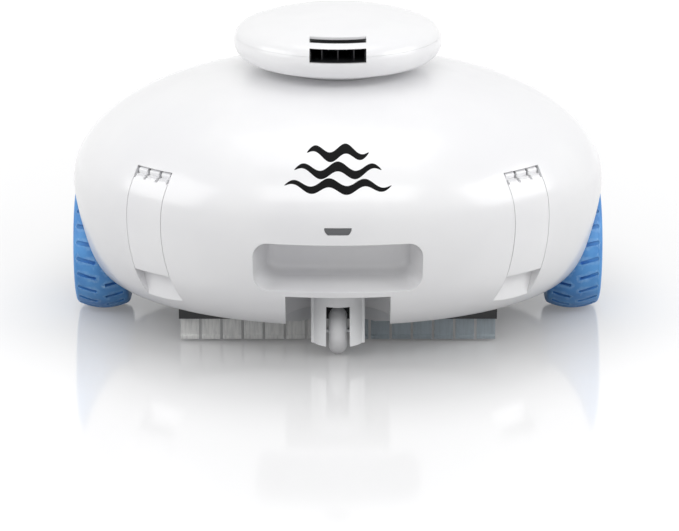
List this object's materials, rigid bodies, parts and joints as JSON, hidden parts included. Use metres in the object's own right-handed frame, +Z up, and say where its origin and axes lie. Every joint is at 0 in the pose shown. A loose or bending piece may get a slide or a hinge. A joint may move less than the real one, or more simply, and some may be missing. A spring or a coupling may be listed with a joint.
{
  "type": "robotic pool cleaner",
  "caption": "Cordless domed robotic pool cleaner with round jet head, hand grip, side cover latches, wiper flaps, geared blue drive wheels and a swivel caster.",
  "frame": {"origin": "centre of the overall box at floor level, under the middle of the dome", "axes": "+Z up, the grip and caster face -Y, +X to the right seen from the front"},
  "size_m": [0.3972, 0.3261, 0.2302],
  "materials": {
    "white_shell": "satin white moulded shell",
    "grey_caster": "satin light grey",
    "blue_tyre": "satin blue moulded tyre",
    "blue_hub": "satin blue",
    "black_plastic": "black",
    "flap_rubber": "translucent grey flexible flaps",
    "grey_rubber": "soft grey rubber",
    "tray_plastic": "fine texture grey",
    "steel": "turned stainless",
    "motor_metal": "coated",
    "cell_wrap": "shrink wrap",
    "circuit_board": "solder resist",
    "mesh_fabric": "fine nylon mesh",
    "acetal": "natural acetal",
    "inner_plastic": "moulded, unpainted"
  },
  "bodies": {
    "chassis": {"ballast_plates": "motor_metal", "base_tray": "tray_plastic", "battery_box": "inner_plastic", "battery_cells": "cell_wrap", "battery_lid": "inner_plastic", "battery_seal": "grey_rubber", "charge_port": "black_plastic", "control_board": "circuit_board", "dome_cover": "white_shell", "filter_frame": "inner_plastic", "filter_mesh": "mesh_fabric", "head_lower_shell": "white_shell", "head_upper_shell": "white_shell", "jet_nozzle": "black_plastic", "latch_pins": "steel", "left_drive_motor": "motor_metal", "left_suction_throat": "tray_plastic", "left_wheel_arch": "tray_plastic", "lid_screws": "steel", "motor_spider": "inner_plastic", "outlet_duct": "inner_plastic", "power_switch": "black_plastic", "pump_motor": "motor_metal", "right_drive_motor": "motor_metal", "right_suction_throat": "tray_plastic", "right_wheel_arch": "tray_plastic", "status_board": "circuit_board", "status_lens": "black_plastic", "swivel_pin": "steel", "swivel_washer": "acetal", "valve_pins": "steel", "wheel_axles": "steel", "wiper_flaps": "flap_rubber", "wiper_rail": "black_plastic"},
    "right_wheel": {"right_tyre": "blue_tyre", "right_hub": "blue_hub", "right_wheel_gear": "acetal", "right_bush": "acetal", "right_hub_cap": "blue_hub"},
    "left_wheel": {"left_tyre": "blue_tyre", "left_hub": "blue_hub", "left_wheel_gear": "acetal", "left_bush": "acetal", "left_hub_cap": "blue_hub"},
    "right_pinion": {"right_pinion": "acetal", "right_motor_shaft": "steel"},
    "left_pinion": {"left_pinion": "acetal", "left_motor_shaft": "steel"},
    "caster": {"caster_fork": "grey_caster", "caster_axle": "steel"},
    "roller": {"caster_roller": "grey_caster"},
    "impeller": {"impeller": "inner_plastic", "impeller_shaft": "steel"},
    "left_latch": {"left_latch": "white_shell"},
    "right_latch": {"right_latch": "white_shell"},
    "left_valve": {"left_inlet_valve": "grey_rubber"},
    "right_valve": {"right_inlet_valve": "grey_rubber"},
    "button": {"power_button": "grey_rubber"},
    "plug": {"charge_plug": "grey_rubber"}
  },
  "joints": [
    {"name": "right_wheel_spin", "type": "hinge", "parent": "chassis", "child": "right_wheel", "pos_m": [0.1775, 0, 0.05], "axis": [1, 0, 0], "continuous": true},
    {"name": "right_pinion_spin", "type": "hinge", "parent": "chassis", "child": "right_pinion", "pos_m": [0.153, 0.0195, 0.08378], "axis": [1, 0, 0], "continuous": true},
    {"name": "left_wheel_spin", "type": "hinge", "parent": "chassis", "child": "left_wheel", "pos_m": [-0.1775, 0, 0.05], "axis": [1, 0, 0], "continuous": true},
    {"name": "left_pinion_spin", "type": "hinge", "parent": "chassis", "child": "left_pinion", "pos_m": [-0.153, 0.0195, 0.08378], "axis": [1, 0, 0], "continuous": true},
    {"name": "caster_swivel", "type": "hinge", "parent": "chassis", "child": "caster", "pos_m": [0, -0.1185, 0.056], "axis": [0, 0, 1], "range_deg": [-15, 15]},
    {"name": "roller_spin", "type": "hinge", "parent": "caster", "child": "roller", "pos_m": [0, -0.1114, 0.0172], "axis": [1, 0, 0], "continuous": true},
    {"name": "impeller_spin", "type": "hinge", "parent": "chassis", "child": "impeller", "pos_m": [0, 0, 0.118], "axis": [0, 0, 1], "continuous": true},
    {"name": "left_latch_hinge", "type": "hinge", "parent": "chassis", "child": "left_latch", "pos_m": [-0.13026, -0.10416, 0.1342], "axis": [-0.7826, 0.6225, 0], "range_deg": [0, 60]},
    {"name": "right_latch_hinge", "type": "hinge", "parent": "chassis", "child": "right_latch", "pos_m": [0.13026, -0.10416, 0.1342], "axis": [-0.7826, -0.6225, 0], "range_deg": [0, 60]},
    {"name": "right_valve_hinge", "type": "hinge", "parent": "chassis", "child": "right_valve", "pos_m": [0.05, -0.0418, 0.0482], "axis": [-1, 0, 0], "range_deg": [0, 70]},
    {"name": "left_valve_hinge", "type": "hinge", "parent": "chassis", "child": "left_valve", "pos_m": [-0.05, -0.0418, 0.0482], "axis": [-1, 0, 0], "range_deg": [0, 70]},
    {"name": "button_press", "type": "slide", "parent": "chassis", "child": "button", "axis": [0, -1, 0], "range_m": [0, 0.0016], "stiffness_N_per_m": 400},
    {"name": "plug_pull", "type": "slide", "parent": "chassis", "child": "plug", "axis": [0, 1, 0], "range_m": [0, 0.012]}
  ],
  "couplings": [
    {"joint": "right_pinion_spin", "follows": "right_wheel_spin", "ratio": -3.3333},
    {"joint": "left_pinion_spin", "follows": "left_wheel_spin", "ratio": -3.3333}
  ]
}
